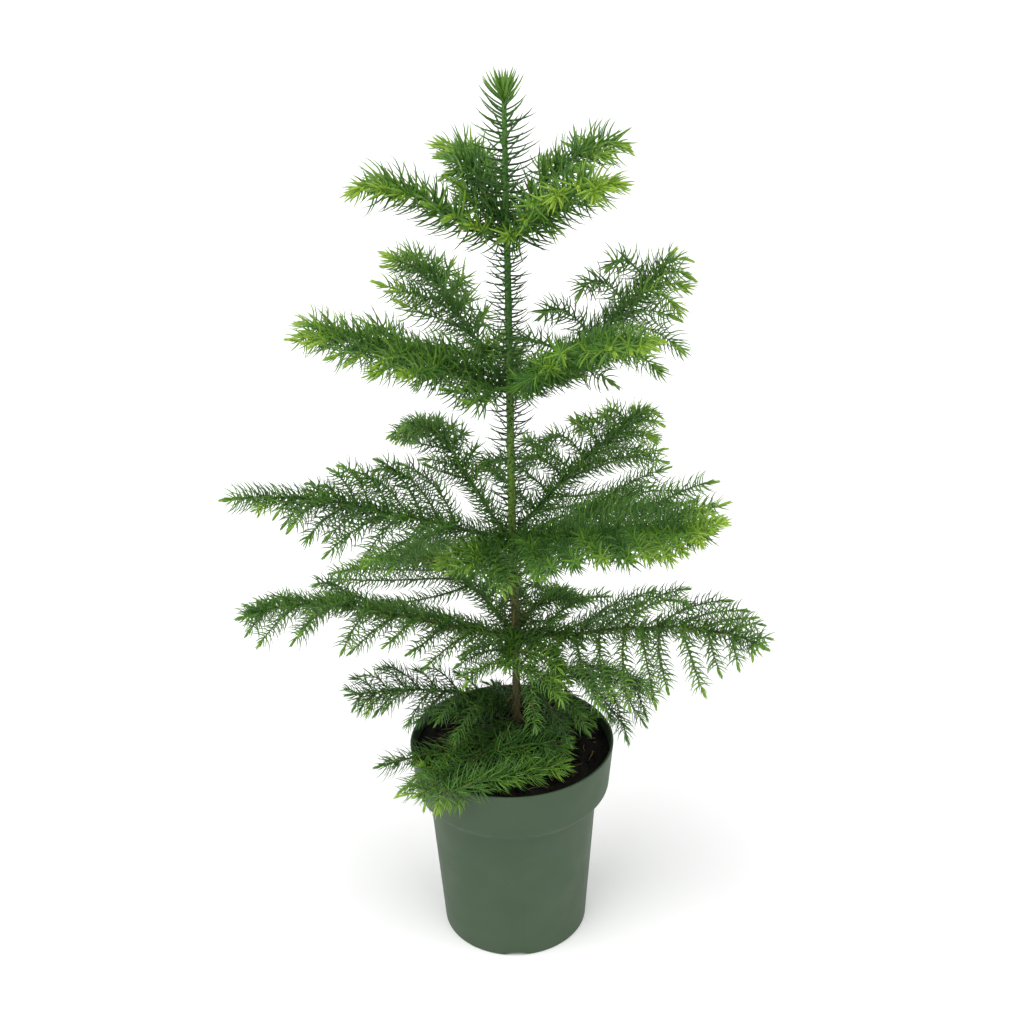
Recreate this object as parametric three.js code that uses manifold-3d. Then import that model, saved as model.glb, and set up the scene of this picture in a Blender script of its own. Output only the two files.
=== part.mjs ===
// Norfolk Island pine, a young plant in its nursery pot.
// Millimetres, +Z up, front towards -Y. The origin is the centre of the pot's flat underside.
import * as THREE from 'three';
import Module from 'manifold-3d';

const wasm = await Module();
wasm.setup();

// ---- Driving dimensions -------------------------------------------------------------------

const CLEARANCE = 0.3; // air left between neighbouring solids

const POT = {
  height: 137,
  rimRadius: 65,
  collarDepth: 31, // height of the wide band below the rim
  stepDepth: 39, // below the rim, where the chamfer under the band ends
  collarRadius: 62,
  shoulderRadius: 54,
  baseRadius: 47,
  baseRound: 1.2,
  wall: 1.6,
  lip: 0.7, // rounding of the rim
  floor: 3.2,
  notches: 4,
  notchWidth: 17,
  notchHeight: 2.7,
  notchRun: 9, // how far a notch runs in under the floor
  sides: 40,
};

const SOIL = {
  frontDepth: 12, // below the rim, where the front of the soil meets the pot
  backDepth: 6,
  shoulderRise: 1.5, // of the mound over the soil at the pot's wall
  padMargin: 3, // of the flat spot round the trunk's foot
};

const TRUNK = {
  foot: new THREE.Vector3(3.2, 16, 133),
  tip: new THREE.Vector3(3.4, 21, 540),
  footRadius: 4.6,
  flareHeight: 9,
  stemRadius: 2.8,
  tipRadius: 1.3,
  taper: 2.2, // more than 1 keeps the stem stout until near its tip
  nodeSwell: 0.35, // extra radius where a whorl leaves
  wander: 0.5, // how far the axis strays from straight
  wanderTurns: { x: 11, y: 7 }, // radians of stray from foot to tip
  nodeLength: 12, // of the swelling at a whorl
  sides: 10,
};

const LEADER = {
  clearOfWhorl: 5,
  needleReach: 16,
  topOverhang: 7, // height of the needle brush above the trunk's tip
  rings: 11,
  sides: 10,
};

const LATERAL_ANGLE = 52; // degrees between a bough and its side shoots
const SPRAY_START = 0.1; // fraction of a bough's reach where its foliage begins
const SPRAY_UNEVENNESS = 0.16;
const NOTCH_DEPTH = 0.46; // how far the gaps between side shoots cut in
const LATE_CREST = 0.67; // where most boughs stand highest over the straight line

// Height of each whorl of boughs above the underside, with the half thickness of its sprays.
const WHORLS = {
  1: { height: 456, thickness: 11, limb: 1, lobes: 4 },
  2: { height: 366, thickness: 10.5, limb: 1.1, lobes: 5 },
  3: { height: 271, thickness: 9, limb: 1.2, lobes: 6 },
  4: { height: 203, thickness: 8, limb: 1.25, lobes: 7 },
};
const LOW = { thickness: 7.5, limb: 1, lobes: 5 };

// Each bough leaves the trunk at `height` and heads for `azimuth`, counted in degrees from +X
// towards +Y. Its tip is `reach` out and `rise` up. `arch` lifts it over the straight line, most
// at the `crest`, and `sweep` carries its tip sideways to the left of its heading. `left` and
// `right` are the lengths of its side shoots, `droop` is the angle at which they hang, and `roll`
// turns the whole spray about its bough, left side down.
const BOUGHS = [
  {
    name: '1_left', whorl: 1, azimuth: 190, reach: 90, rise: 29, arch: 13,
    left: 24, right: 26, droop: 4,
  },
  {
    name: '1_back', whorl: 1, azimuth: 115, reach: 82, rise: 41, arch: 11, crest: 0.5,
    left: 30, right: 20, roll: -10,
  },
  {
    name: '1_front', whorl: 1, azimuth: 308, reach: 97, rise: 40, arch: 12,
    left: 28, right: 26, droop: 4,
  },
  {
    name: '1_right', whorl: 1, azimuth: 34, reach: 95, rise: 37, arch: 21, crest: 0.5,
    left: 24, right: 28, start: 0.17,
  },
  {
    name: '2_left', whorl: 2, azimuth: 187, reach: 125, rise: 42, arch: 6,
    left: 42, right: 40, droop: 6,
  },
  {
    name: '2_back', whorl: 2, azimuth: 124, reach: 124, rise: 57, arch: 13,
    left: 60, right: 40, roll: -6,
  },
  {
    name: '2_front', whorl: 2, azimuth: 307, reach: 126, rise: 57, arch: 10,
    left: 38, right: 46, droop: 6,
  },
  {
    name: '2_right', whorl: 2, azimuth: 28, reach: 121, rise: 71, arch: -8, crest: 0.5,
    left: 48, right: 58, roll: -4,
  },
  {
    name: '3_left', whorl: 3, azimuth: 190, reach: 177, rise: 41, arch: 10,
    left: 60, right: 62, droop: 8, roll: 10,
  },
  {
    name: '3_back', whorl: 3, azimuth: 126, reach: 128, rise: 14, arch: 32,
    left: 28, right: 28, droop: 8,
  },
  {
    name: '3_front', whorl: 3, azimuth: 309, reach: 172, rise: 67, arch: -1, crest: 0.5,
    left: 60, right: 70, droop: 8, roll: -12,
  },
  {
    name: '3_right', whorl: 3, azimuth: 46, reach: 136, rise: 48, arch: 6, crest: 0.5,
    left: 46, right: 54, droop: 0, roll: -8,
  },
  {
    name: '4_left', whorl: 4, azimuth: 190, reach: 176, rise: 29, arch: 16,
    left: 72, right: 40, droop: 14,
  },
  {
    name: '4_back', whorl: 4, azimuth: 126, reach: 130, rise: 10, arch: 12, crest: 0.5,
    left: 82, right: 56, droop: 10,
  },
  {
    name: '4_right', whorl: 4, azimuth: 331, reach: 170, rise: 31, arch: 13,
    left: 70, right: 74, droop: 10, roll: -12,
  },
  {
    name: '4_rear', whorl: 4, azimuth: 55, reach: 76, rise: -13, arch: 16, crest: 0.5,
    left: 44, right: 40, droop: 10,
  },
  {
    name: '4_front', whorl: 4, azimuth: 262, reach: 52, rise: -2, arch: 6, crest: 0.5,
    left: 18, right: 18, droop: 12,
  },
  {
    name: 'low_left', height: 152, azimuth: 190, reach: 114, rise: 21, arch: 7, crest: 0.5,
    left: 44, right: 42, droop: 7, roll: 3,
  },
  {
    name: 'low_inner_left', height: 144, azimuth: 187, reach: 64, rise: 1, arch: 11, crest: 0.5,
    left: 20, right: 18,
  },
  {
    name: 'low_front', height: 145, azimuth: 242, reach: 112, rise: -3, arch: -6, crest: 0.4,
    sweep: -20, left: 27, right: 24, droop: 12,
  },
  {
    name: 'low_over_rim', height: 143, azimuth: 211, reach: 104, rise: 0, arch: -5, crest: 0.5,
    left: 10, right: 10,
  },
  {
    name: 'low_inner_right', height: 140, azimuth: 348, reach: 61, rise: 8, arch: 2, crest: 0.5,
    left: 18, right: 18,
  },
  {
    name: 'low_right', height: 158, azimuth: 342, reach: 92, rise: 15, arch: 15, crest: 0.5,
    left: 28, right: 46, droop: 26,
  },
  {
    name: 'low_back_left', height: 145, azimuth: 120, reach: 42, rise: 8, arch: 3, crest: 0.5,
    left: 14, right: 14,
  },
  {
    name: 'low_back_right', height: 146, azimuth: 60, reach: 38, rise: 8, arch: 3, crest: 0.5,
    left: 14, right: 14,
  },
];

// The shoot that forks off the low front bough and crosses the pot's mouth has only a spray.
const FORK = {
  name: 'low_fork', root: [-40, -65, 141], azimuth: 28, reach: 90, rise: 1, arch: 1, crest: 0.5,
  sweep: -11, left: 14, right: 12, start: 0.02,
};

const COLOURS = {
  pot: { colour: 0x586f56, roughness: 0.6 },
  soil: { colour: 0x231a14, roughness: 0.95 },
  trunk: { colour: 0x5b5030, roughness: 0.8 },
  bough: { colour: 0x466b2a, roughness: 0.75 },
  needles: { colour: 0x2f6b2c, roughness: 0.7 },
};

// ---- Small tools --------------------------------------------------------------------------

const UP = new THREE.Vector3(0, 0, 1);
const { lerp, clamp, degToRad } = THREE.MathUtils;

/** A repeatable source of numbers from 0 to 1, started from a name. */
function randomFrom(name) {
  let state = 7;
  for (const letter of name) state = (state * 31 + letter.codePointAt(0)) % 2147483647;
  return () => {
    state = (state * 48271) % 2147483647;
    return state / 2147483647;
  };
}

/** A closed geometry through rings of points that turn counterclockwise about the way ahead. */
function loft(rings) {
  const points = rings.flat();
  const faces = [];
  const count = rings[0].length;
  for (let i = 0; i + 1 < rings.length; i += 1) {
    for (let j = 0; j < count; j += 1) {
      const next = (j + 1) % count;
      const a = i * count + j;
      const b = i * count + next;
      faces.push(a, b, a + count, b, b + count, a + count);
    }
  }
  const last = (rings.length - 1) * count;
  for (let j = 1; j + 1 < count; j += 1) {
    faces.push(0, j + 1, j, last, last + j, last + j + 1);
  }
  const geometry = new THREE.BufferGeometry().setFromPoints(points);
  geometry.setIndex(faces);
  return geometry;
}

function toSolid(geometry) {
  return new wasm.Manifold(new wasm.Mesh({
    numProp: 3,
    vertProperties: new Float32Array(geometry.attributes.position.array),
    triVerts: new Uint32Array(geometry.index.array),
  }));
}

function toGeometry(solid) {
  const mesh = solid.getMesh();
  const geometry = new THREE.BufferGeometry();
  geometry.setAttribute('position', new THREE.BufferAttribute(mesh.vertProperties, 3));
  geometry.setIndex(new THREE.BufferAttribute(mesh.triVerts, 1));
  return geometry;
}

/** A solid of revolution about Z from [radius, height] pairs that start and end on the axis. */
function turned(profile, sides) {
  const points = profile.map(([radius, height]) => new THREE.Vector2(radius, height));
  return toSolid(welded(new THREE.LatheGeometry(points, sides).rotateX(Math.PI / 2)));
}

/** A level ring of points. */
function circle(radius, height, sides, centre = { x: 0, y: 0 }) {
  return Array.from({ length: sides }, (_, j) => {
    const angle = (2 * Math.PI * j) / sides;
    return new THREE.Vector3(
      centre.x + radius * Math.cos(angle),
      centre.y + radius * Math.sin(angle),
      height,
    );
  });
}

/** The largest of a solid's separate pieces. */
function mainPiece(solid) {
  return solid.decompose().reduce((best, piece) => (piece.volume() > best.volume() ? piece : best));
}

// ---- Pot and soil -------------------------------------------------------------------------

const stepHeight = POT.height - POT.stepDepth;
const collarHeight = POT.height - POT.collarDepth;

/** Radius of the pot's inner face at a height above the step under the collar. */
function mouthRadius(height) {
  const along = (height - collarHeight) / POT.collarDepth;
  return lerp(POT.collarRadius, POT.rimRadius, along) - POT.wall;
}

/** The pot's wall and floor. */
function potSolid() {
  const { rimRadius, collarRadius, shoulderRadius, baseRadius, baseRound, wall, lip, floor } = POT;
  const outside = [
    [baseRadius - baseRound, 0],
    [baseRadius - baseRound * 0.3, baseRound * 0.3],
    [baseRadius, baseRound],
    [shoulderRadius, stepHeight],
    [collarRadius, collarHeight],
    [rimRadius, POT.height - lip],
    [rimRadius - lip * 0.4, POT.height],
  ];
  const inside = [
    [rimRadius - wall + lip * 0.4, POT.height],
    [rimRadius - wall, POT.height - lip],
    [collarRadius - wall, collarHeight + wall * 0.4],
    [shoulderRadius - wall, stepHeight + wall * 0.4],
    [baseRadius - wall, floor + baseRound * 0.6],
    [baseRadius - wall - baseRound * 0.5, floor],
  ];
  return turned([[0, 0], ...outside, ...inside, [0, floor]], POT.sides);
}

/** Wide, low drainage notches through the pot's bottom edge, one of them in front. */
function notchSolid() {
  const { notchWidth, notchHeight, notchRun, baseRadius, wall } = POT;
  const length = notchRun + wall;
  const middle = baseRadius + wall - length / 2;
  const radius = (notchWidth ** 2 / 4 + notchHeight ** 2) / (2 * notchHeight);
  const arch = new THREE.CylinderGeometry(radius, radius, length, 48).rotateZ(-Math.PI / 2);
  let notches = null;
  for (let i = 0; i < POT.notches; i += 1) {
    const angle = (2 * Math.PI * i) / POT.notches;
    const rod = arch.clone().translate(middle, 0, notchHeight - radius).rotateZ(angle);
    const solid = toSolid(welded(rod));
    notches = notches ? notches.add(solid) : solid;
  }
  return notches;
}

/** A copy of a geometry that shares its corners, as a closed mesh. */
function welded(geometry) {
  const { position } = geometry.attributes;
  const corners = new Map();
  const points = [];
  const shared = (i) => {
    const corner = geometry.index ? geometry.index.getX(i) : i;
    const point = new THREE.Vector3().fromBufferAttribute(position, corner);
    const key = point.toArray().map((value) => Math.round(value * 1e4)).join(' ');
    if (!corners.has(key)) corners.set(key, points.push(point) - 1);
    return corners.get(key);
  };
  const faces = [];
  const count = geometry.index ? geometry.index.count : position.count;
  for (let i = 0; i < count; i += 3) {
    const face = [shared(i), shared(i + 1), shared(i + 2)];
    if (new Set(face).size === 3) faces.push(...face);
  }
  const result = new THREE.BufferGeometry().setFromPoints(points);
  result.setIndex(faces);
  return result;
}

/** The peat: it fills the pot, lies lower in front, and mounds to a flat spot under the trunk. */
function soilSolid() {
  const { footRadius, foot } = TRUNK;
  const inPot = (radius, height) => circle(radius - CLEARANCE, height, POT.sides);
  const edge = inPot(1, 0).map((point) => {
    const back = (point.y / point.length() + 1) / 2;
    const height = POT.height - lerp(SOIL.frontDepth, SOIL.backDepth, back);
    const radius = mouthRadius(height) - CLEARANCE;
    return new THREE.Vector3(point.x, point.y, 0).setLength(radius).setZ(height);
  });
  const flat = circle(footRadius + SOIL.padMargin, foot.z - CLEARANCE, POT.sides, foot);
  const slope = edge.map((point, j) => (
    point.clone().lerp(flat[j], 0.45).add(new THREE.Vector3(0, 0, SOIL.shoulderRise))
  ));
  const wallInside = POT.wall + 0.4;
  return toSolid(loft([
    inPot(POT.baseRadius - POT.baseRound - POT.wall, POT.floor + CLEARANCE),
    inPot(POT.baseRadius - POT.wall, POT.floor + POT.baseRound),
    inPot(POT.shoulderRadius - wallInside, stepHeight),
    inPot(POT.collarRadius - wallInside, collarHeight + wallInside),
    edge,
    slope,
    flat,
  ]));
}

// ---- Trunk --------------------------------------------------------------------------------

const trunkLength = TRUNK.tip.z - TRUNK.foot.z;

function trunkCentre(height) {
  const along = (height - TRUNK.foot.z) / trunkLength;
  const centre = TRUNK.foot.clone().lerp(TRUNK.tip, along);
  centre.x += TRUNK.wander * Math.sin(along * TRUNK.wanderTurns.x) * (1 - along);
  centre.y += TRUNK.wander * Math.sin(along * TRUNK.wanderTurns.y) * (1 - along);
  return centre;
}

function trunkRadius(height) {
  const along = clamp((height - TRUNK.foot.z) / trunkLength, 0, 1);
  const stem = lerp(TRUNK.stemRadius, TRUNK.tipRadius, along ** TRUNK.taper);
  const flare = Math.max(0, 1 - (height - TRUNK.foot.z) / TRUNK.flareHeight) ** 2;
  const swell = Object.values(WHORLS).reduce((most, whorl) => (
    Math.max(most, 1 - Math.abs(height - whorl.height) / (TRUNK.nodeLength / 2))
  ), 0);
  return stem + (TRUNK.footRadius - TRUNK.stemRadius) * flare + TRUNK.nodeSwell * swell;
}

function trunkSolid() {
  const heights = [0, 0.3, 0.65, 1].map((part) => TRUNK.foot.z + part * TRUNK.flareHeight);
  for (const { height } of Object.values(WHORLS).reverse()) {
    heights.push(height - TRUNK.nodeLength / 2, height, height + TRUNK.nodeLength / 2);
  }
  heights.push(lerp(WHORLS[1].height, TRUNK.tip.z, 0.5), TRUNK.tip.z);
  return toSolid(loft(heights.map((height) => {
    const centre = trunkCentre(height);
    return circle(trunkRadius(height), height, TRUNK.sides, centre);
  })));
}

/** The brush of needles round the top of the trunk, with a bore that the trunk stands in. */
function leaderSolid() {
  const random = randomFrom('leader');
  const bottom = WHORLS[1].height + LEADER.clearOfWhorl;
  const top = TRUNK.tip.z + LEADER.topOverhang;
  const rings = [];
  for (let i = 0; i <= LEADER.rings; i += 1) {
    const along = i / LEADER.rings;
    const height = lerp(bottom, top, along);
    const full = LEADER.needleReach * Math.min(1, 0.5 + along * 4) * (1 - along ** 5) ** 0.5;
    const radius = Math.max(full * (i % 2 ? 1 : 0.84), TRUNK.tipRadius * 1.5);
    const ring = circle(radius, height, LEADER.sides, trunkCentre(height));
    const centre = trunkCentre(height).setZ(height);
    rings.push(ring.map((point) => point.lerp(centre, 0.12 * random())));
  }
  return toSolid(loft(rings));
}

// ---- Boughs and sprays --------------------------------------------------------------------

/** The place on a bough's axis a fraction `s` of its reach from the trunk. */
function boughPoint(bough, s) {
  const { azimuth, reach, rise, arch, crest = LATE_CREST, sweep = 0 } = bough;
  const heading = new THREE.Vector3(1, 0, 0).applyAxisAngle(UP, degToRad(azimuth));
  const left = UP.clone().cross(heading);
  return rootOf(bough)
    .addScaledVector(heading, reach * s)
    .addScaledVector(left, sweep * s * s)
    .addScaledVector(UP, rise * s + arch * hump(s, crest));
}

/** A curve that is 0 at 0 and at 1, and 1 at the crest between them. */
function hump(s, crest) {
  const power = crest / (1 - crest);
  return ((Math.max(0, s) / crest) ** power * (1 - s)) / (1 - crest);
}

function rootOf({ root, whorl, height }) {
  if (root) return new THREE.Vector3(...root);
  const level = whorl ? WHORLS[whorl].height : height;
  return trunkCentre(level).setZ(level);
}

/** The way ahead, left and up at a place on a bough. */
function boughFrame(bough, s) {
  const ahead = boughPoint(bough, s + 0.01).sub(boughPoint(bough, s - 0.01)).normalize();
  const left = UP.clone().cross(ahead).normalize();
  left.applyAxisAngle(ahead, -degToRad(bough.roll ?? 0));
  return { ahead, left, up: ahead.clone().cross(left) };
}

/** Left and up at a bough's root, where its end stands flat against the trunk. */
function uprightFrame({ azimuth }) {
  const heading = new THREE.Vector3(1, 0, 0).applyAxisAngle(UP, degToRad(azimuth));
  return { left: UP.clone().cross(heading), up: UP };
}

function kindOf(bough) {
  return bough.whorl ? WHORLS[bough.whorl] : LOW;
}

function sprayStart(bough) {
  return bough.start ?? Math.max(SPRAY_START, 9 / bough.reach);
}

/** The limb, from the trunk's bark to where it enters its spray. */
function limbSolid(bough) {
  const { limb } = kindOf(bough);
  const end = sprayStart(bough);
  const level = rootOf(bough).z;
  const begin = (trunkRadius(level) + CLEARANCE) / bough.reach;
  const rings = [0, 1 / 3, 2 / 3, 1].map((part) => {
    const s = lerp(begin, end, part);
    const { left, up } = part === 0 ? uprightFrame(bough) : boughFrame(bough, s);
    const radius = limb * (1 - 0.2 * part);
    return Array.from({ length: 6 }, (_, j) => {
      const angle = (Math.PI * j) / 3;
      return boughPoint(bough, s)
        .addScaledVector(left, radius * Math.cos(angle))
        .addScaledVector(up, radius * Math.sin(angle));
    });
  });
  return toSolid(loft(rings));
}

// The outline of a spray across its axis: part of its half width, part of its half thickness.
const SPRAY_SECTION = [[1, 0], [0.35, 1], [-0.35, 1], [-1, 0], [-0.35, -1], [0.35, -1]];

/** How far side shoots that leave the axis at `s` reach, as a part of the longest. */
function shootLength(s) {
  return Math.max(0.1, (1 - s * s) ** 0.6) * (0.8 + 0.2 * Math.min(1, s / 0.2));
}

/** A flat frond of side shoots that sweep forward, with gaps between them. */
function spraySolid(bough) {
  const random = randomFrom(bough.name);
  const { thickness, lobes, limb } = kindOf(bough);
  const stations = bough.reach < 70 ? lobes : lobes * 2 + 1;
  const begin = sprayStart(bough) + CLEARANCE / bough.reach;
  const across = Math.sin(degToRad(LATERAL_ANGLE));
  const forward = 1 / Math.tan(degToRad(LATERAL_ANGLE));
  const fall = Math.tan(degToRad(bough.droop ?? 3));
  const rings = [];
  for (let i = 0; i <= stations + 1; i += 1) {
    const atEnd = i === 0 || i === stations + 1;
    const s = lerp(begin, 1, (i / (stations + 1)) ** 1.05);
    const { ahead, left, up } = boughFrame(bough, i === 0 ? begin : s);
    const lobe = i % 2 === 1 ? 1 : NOTCH_DEPTH;
    const uneven = [0, 1, 2].map(() => 1 + SPRAY_UNEVENNESS * (random() * 2 - 1));
    const half = atEnd ? limb * 2 : thickness * uneven[0] * (1 - 0.3 * s);
    rings.push(SPRAY_SECTION.map(([wide, high]) => {
      const side = wide > 0 ? bough.left * uneven[1] : bough.right * uneven[2];
      const width = atEnd ? limb * 2 : side * shootLength(s) * lobe * across + thickness * 0.3;
      const out = wide * width;
      const swept = atEnd ? 0 : Math.abs(out) * forward;
      return boughPoint(bough, s)
        .addScaledVector(ahead, swept)
        .addScaledVector(left, out)
        .addScaledVector(up, high * half)
        .addScaledVector(UP, -Math.abs(out) * fall);
    }));
  }
  return toSolid(loft(rings));
}

// ---- Assembly -----------------------------------------------------------------------------

/** A solid grown by the clearance or a little more on every side. */
function grown(solid) {
  return solid.minkowskiSum(toSolid(welded(new THREE.OctahedronGeometry(CLEARANCE * 1.75))));
}

/** Cuts each mass round everything that comes before it, so that no two share room. */
function cutMasses(masses, others) {
  const before = others.map(grown);
  return masses.map(({ name, solid }) => {
    let cut = solid;
    for (const taken of before) {
      if (!cut.intersect(taken).isEmpty()) cut = cut.subtract(taken);
    }
    cut = mainPiece(cut);
    before.push(grown(cut));
    return { name, solid: cut };
  });
}

function named(name, solid, { colour, roughness }) {
  const material = new THREE.MeshStandardMaterial({ color: colour, roughness, metalness: 0 });
  material.name = name;
  const mesh = new THREE.Mesh(toGeometry(solid), material);
  mesh.name = name;
  return mesh;
}

const pot = potSolid().subtract(notchSolid());
const soil = soilSolid();
const trunk = trunkSolid();
const limbs = BOUGHS.map((bough) => ({ name: `bough_${bough.name}`, solid: limbSolid(bough) }));
const sprays = [...BOUGHS, FORK].map((bough) => ({
  name: `spray_${bough.name}`,
  solid: spraySolid(bough),
}));
const masses = cutMasses(
  [{ name: 'spray_leader', solid: leaderSolid() }, ...sprays],
  [pot, soil, trunk, ...limbs.map((limb) => limb.solid)],
);

const group = new THREE.Group();
group.name = 'norfolk_island_pine';
group.add(named('pot', pot, COLOURS.pot));
group.add(named('soil', soil, COLOURS.soil));
group.add(named('trunk', trunk, COLOURS.trunk));
for (const { name, solid } of limbs) group.add(named(name, solid, COLOURS.bough));
for (const { name, solid } of masses) group.add(named(name, solid, COLOURS.needles));

export default group;
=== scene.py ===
"""Norfolk Island pine, a young plant in its nursery pot.

Sizes below are in millimetres, +Z up, front towards -Y, with the origin under the middle of the
pot. Meshes are made in those units and turned into metres as they are handed to Blender.
"""

import math
from itertools import combinations
from types import SimpleNamespace as Values

import bpy
import numpy as np
from mathutils import Matrix, Vector


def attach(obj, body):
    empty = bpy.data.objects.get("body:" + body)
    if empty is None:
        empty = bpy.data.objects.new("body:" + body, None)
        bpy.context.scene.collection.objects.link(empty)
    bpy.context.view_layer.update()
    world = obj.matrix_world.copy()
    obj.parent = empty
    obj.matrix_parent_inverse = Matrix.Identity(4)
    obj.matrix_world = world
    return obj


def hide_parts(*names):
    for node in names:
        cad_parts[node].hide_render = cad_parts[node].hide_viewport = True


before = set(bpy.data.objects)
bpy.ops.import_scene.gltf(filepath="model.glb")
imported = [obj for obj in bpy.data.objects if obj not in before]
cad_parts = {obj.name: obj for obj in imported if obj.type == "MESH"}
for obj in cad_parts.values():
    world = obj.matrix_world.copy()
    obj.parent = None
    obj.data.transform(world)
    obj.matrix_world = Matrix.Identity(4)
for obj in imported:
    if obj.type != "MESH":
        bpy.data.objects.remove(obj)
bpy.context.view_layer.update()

MM = 0.001
UP = np.array([0.0, 0.0, 1.0])
GOLDEN_ANGLE = math.radians(137.508)

# ---- Sizes of the plant and its pot

POT = Values(
    height=137, rim=65, collar=62, shoulder=54, base=47, collar_depth=31, step_depth=39, wall=1.6,
    floor=3.2, inner_lift=0.6, rounding=(1.2, 1.6, 1.4, 0.7, 0.7, 1, 1, 2), near_axis=1, sides=176,
    notches=4, notch_width=17, notch_height=2.7, notch_run=(-9, 6),
)
SOIL = Values(
    front_depth=12, back_depth=6, shoulder_rise=1.5, pad=7.6, gap=0.15, rings=46, sides=150,
)
TRUNK = Values(
    foot=(3.2, 16, 133), tip=(3.4, 21, 540), foot_radius=4.0, flare_height=9, stem_radius=2.5,
    tip_radius=1.3, taper=2.2, node_swell=0.35, node_length=12, wander=0.5, turns=(11, 7),
)

# What the boughs of a kind have in common, by the first part of their names: their whorl's height,
# their limb's radius, the spacing of their side shoots, and in `lift` how steeply those rise before
# they hang and how much that varies, in degrees; `needle` and `width` are their needles' sizes.
# `plain` is how bright those are along the wood, on the scale of GREENS below, `fresh` how much
# brighter at the tips, and `young` over how many millimetres. `lean` and `curl` are the needles'
# angles to the shoot at foot and tip, and `twist` and `unruly` how far they stray from them. Over
# `brush` millimetres at a shoot's end they close; `buds` is the share of shoots that do so in a BUD
# and not in a STAR. `dense` is needles to a millimetre on the bough, `sparse` on its side shoots.
KINDS = {
    "1": dict(height=456, limb=1, spacing=13, lift=(18, 14), needle=18, width=1.4, plain=2.95,
        fresh=2.8, young=11, lean=84, curl=34, buds=0.65, brush=9, dense=1.6, sparse=1.35,
        twist=0.16, unruly=7),
    "2": dict(height=366, limb=1.1, spacing=13.5, lift=(14, 12), needle=14.5, width=1.12, plain=3.1,
        fresh=2.4, young=10, lean=88, curl=26, buds=0.85, brush=8, dense=2.1, sparse=1.7,
        twist=0.16, unruly=7),
    "3": dict(height=271, limb=1.2, spacing=13.5, lift=(12, 9), needle=11.5, width=1, plain=2.95,
        fresh=1.5, young=9, lean=86, curl=24, buds=0.85, brush=5.5, dense=3.4, sparse=1.95),
    "4": dict(height=203, limb=1.25, spacing=13.5, lift=(8, 8), needle=10, width=0.95, plain=3.2,
        fresh=1, young=8, lean=86, curl=24, buds=0.85, brush=4.6, dense=3.6, sparse=2),
    "low": dict(crest=0.5, limb=1, spacing=11, lift=(10, 10), needle=17, width=0.75, plain=2.4,
        fresh=0.9, young=9, lean=66, curl=30, buds=0.5, brush=6, dense=2.1, sparse=1.7, twist=0.25,
        unruly=10),
}

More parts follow.
